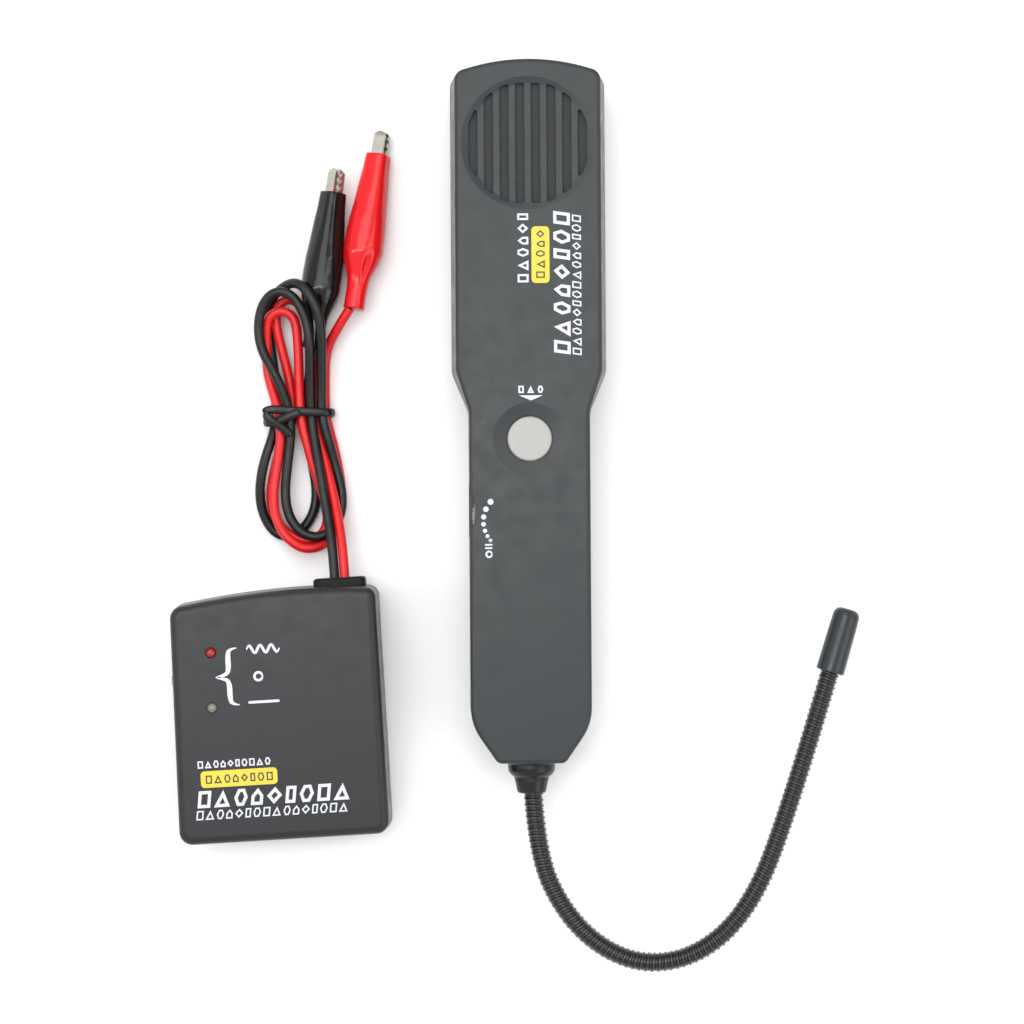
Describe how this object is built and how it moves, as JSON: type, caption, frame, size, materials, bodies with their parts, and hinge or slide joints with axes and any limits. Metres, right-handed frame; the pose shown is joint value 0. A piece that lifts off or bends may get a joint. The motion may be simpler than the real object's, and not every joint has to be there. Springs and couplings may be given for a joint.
{
  "type": "circuit breaker finder",
  "caption": "Hand-held wire and breaker tracing kit: receiver with speaker, test button and bendable gooseneck probe, and a transmitter box with clip leads in a tied hank.",
  "frame": {"origin": "centre of the receiver's flat back face", "axes": "+Y from the probe end to the speaker end of the receiver, +Z out of the front faces of both units, +X to the right when the front is seen with the speaker up; the transmitter lies on the -X side, on the same plane as the receiver's back"},
  "size_m": [0.2097, 0.2774, 0.0286],
  "materials": {
    "case_grey": "fine moulded texture",
    "case_grey_rear": "fine moulded texture",
    "box_grey": "fine moulded texture",
    "button_grey": "satin",
    "wheel_grey": "satin",
    "neck_rubber": "matt, ribbed",
    "tip_grey": "satin",
    "collar_black": "satin",
    "steel": "nickel plated",
    "copper": "enamelled wire",
    "board_green": "solder mask",
    "component_black": "moulded",
    "battery_grey": "painted jacket",
    "speaker_steel": "pressed",
    "speaker_paper": "matt",
    "lamp_red": "clear tinted",
    "lamp_clear": "diffused",
    "lead_black": "smooth sleeve",
    "lead_red": "smooth sleeve",
    "tie_black": "coated wire",
    "grommet_black": "matt"
  },
  "bodies": {
    "receiver": {"receiver_front_shell": "case_grey", "receiver_rear_shell": "case_grey_rear", "speaker_frame": "speaker_steel", "speaker_cone": "speaker_paper", "speaker_magnet": "speaker_steel", "test_button_switch": "component_black", "receiver_circuit_board": "board_green", "receiver_board_components": "component_black", "sensitivity_potentiometer": "component_black", "receiver_battery": "battery_grey", "receiver_battery_snap": "component_black", "receiver_case_screws": "steel", "probe_collar": "collar_black", "gooseneck_nut": "steel", "gooseneck_root": "neck_rubber", "gooseneck_flex_1": "neck_rubber"},
    "test_button": {"test_button": "button_grey"},
    "sensitivity_wheel": {"sensitivity_wheel": "wheel_grey", "wheel_screw": "steel"},
    "receiver_battery_door": {"receiver_battery_door": "case_grey_rear"},
    "neck_length_1": {"gooseneck_segment_1": "neck_rubber", "gooseneck_flex_2": "neck_rubber"},
    "neck_length_2": {"gooseneck_segment_2": "neck_rubber", "gooseneck_flex_3": "neck_rubber"},
    "neck_length_3": {"gooseneck_segment_3": "neck_rubber", "gooseneck_flex_4": "neck_rubber"},
    "neck_length_4": {"gooseneck_segment_4": "neck_rubber", "gooseneck_flex_5": "neck_rubber"},
    "probe_tip": {"gooseneck_segment_5": "neck_rubber", "probe_tip_cap": "tip_grey", "pickup_coil": "copper"},
    "transmitter": {"transmitter_front_shell": "box_grey", "transmitter_rear_shell": "box_grey", "transmitter_circuit_board": "board_green", "tone_generator_chip": "component_black", "red_lamp": "lamp_red", "clear_lamp": "lamp_clear", "mode_switch_body": "component_black", "transmitter_battery": "battery_grey", "transmitter_battery_snap": "component_black", "transmitter_case_screws": "steel", "lead_grommet": "grommet_black", "twist_tie": "tie_black", "lead_hank": "lead_black", "black_lead_tail": "lead_black", "red_lead_tail": "lead_red", "black_clip_lead": "lead_black", "red_clip_lead": "lead_red", "red_clip_boot": "lead_red", "red_clip_lower_jaw": "steel", "red_clip_pivot": "steel", "red_clip_spring": "steel", "black_clip_boot": "lead_black", "black_clip_lower_jaw": "steel", "black_clip_pivot": "steel", "black_clip_spring": "steel"},
    "mode_switch_knob": {"mode_switch_knob": "wheel_grey"},
    "transmitter_battery_door": {"transmitter_battery_door": "box_grey"},
    "red_clip_jaw": {"red_clip_upper_jaw": "steel"},
    "black_clip_jaw": {"black_clip_upper_jaw": "steel"}
  },
  "joints": [
    {"name": "test_button_press", "type": "slide", "parent": "receiver", "child": "test_button", "axis": [0, 0, -1], "range_m": [0, 0.0012], "stiffness_N_per_m": 600, "springref_m": -0.0008},
    {"name": "sensitivity_wheel_turn", "type": "hinge", "parent": "receiver", "child": "sensitivity_wheel", "pos_m": [-0.0081, -0.0312, 0.0218], "axis": [0, 0, 1], "range_deg": [0, 270]},
    {"name": "receiver_battery_door_slide", "type": "slide", "parent": "receiver", "child": "receiver_battery_door", "axis": [0, -1, 0], "range_m": [0, 0.055]},
    {"name": "gooseneck_bend_1", "type": "hinge", "parent": "receiver", "child": "neck_length_1", "pos_m": [0, -0.1172, 0.014], "axis": [0, 0, 1], "range_deg": [-35, 15], "deforming": ["gooseneck_flex_1"]},
    {"name": "gooseneck_bend_2", "type": "hinge", "parent": "neck_length_1", "child": "neck_length_2", "pos_m": [0.00591, -0.14419, 0.014], "axis": [0, 0, 1], "range_deg": [-35, 15], "deforming": ["gooseneck_flex_2"]},
    {"name": "gooseneck_bend_3", "type": "hinge", "parent": "neck_length_2", "child": "neck_length_3", "pos_m": [0.02056, -0.16221, 0.014], "axis": [0, 0, 1], "range_deg": [-35, 15], "deforming": ["gooseneck_flex_3"]},
    {"name": "gooseneck_lift", "type": "hinge", "parent": "neck_length_3", "child": "neck_length_4", "pos_m": [0.05648, -0.1606, 0.014], "axis": [0.6315, -0.7754, 0], "range_deg": [-5, 45], "deforming": ["gooseneck_flex_4"]},
    {"name": "gooseneck_bend_4", "type": "hinge", "parent": "neck_length_4", "child": "probe_tip", "pos_m": [0.07049, -0.14156, 0.014], "axis": [0, 0, 1], "range_deg": [-35, 15], "deforming": ["gooseneck_flex_5"]},
    {"name": "transmitter_lift", "type": "slide", "parent": "receiver", "child": "transmitter", "axis": [0, 0, 1], "range_m": [0, 0.06]},
    {"name": "mode_switch_slide", "type": "slide", "parent": "transmitter", "child": "mode_switch_knob", "axis": [-0.0541, 0.9985, 0], "range_m": [-0.002, 0.002]},
    {"name": "transmitter_battery_door_slide", "type": "slide", "parent": "transmitter", "child": "transmitter_battery_door", "axis": [0.0541, -0.9985, 0], "range_m": [0, 0.03]},
    {"name": "red_clip_open", "type": "hinge", "parent": "transmitter", "child": "red_clip_jaw", "pos_m": [-0.04926, 0.06044, 0.00589], "axis": [0.9312, -0.1283, 0.3412], "range_deg": [0, 20], "stiffness_Nm_per_rad": 0.25, "springref_deg": -14.32, "deforming": ["red_clip_boot", "red_clip_spring"]},
    {"name": "black_clip_open", "type": "hinge", "parent": "transmitter", "child": "black_clip_jaw", "pos_m": [-0.0627, 0.04857, 0.00645], "axis": [0.7002, -0.0984, 0.7071], "range_deg": [0, 20], "stiffness_Nm_per_rad": 0.25, "springref_deg": -14.32, "deforming": ["black_clip_boot", "black_clip_spring"]}
  ]
}
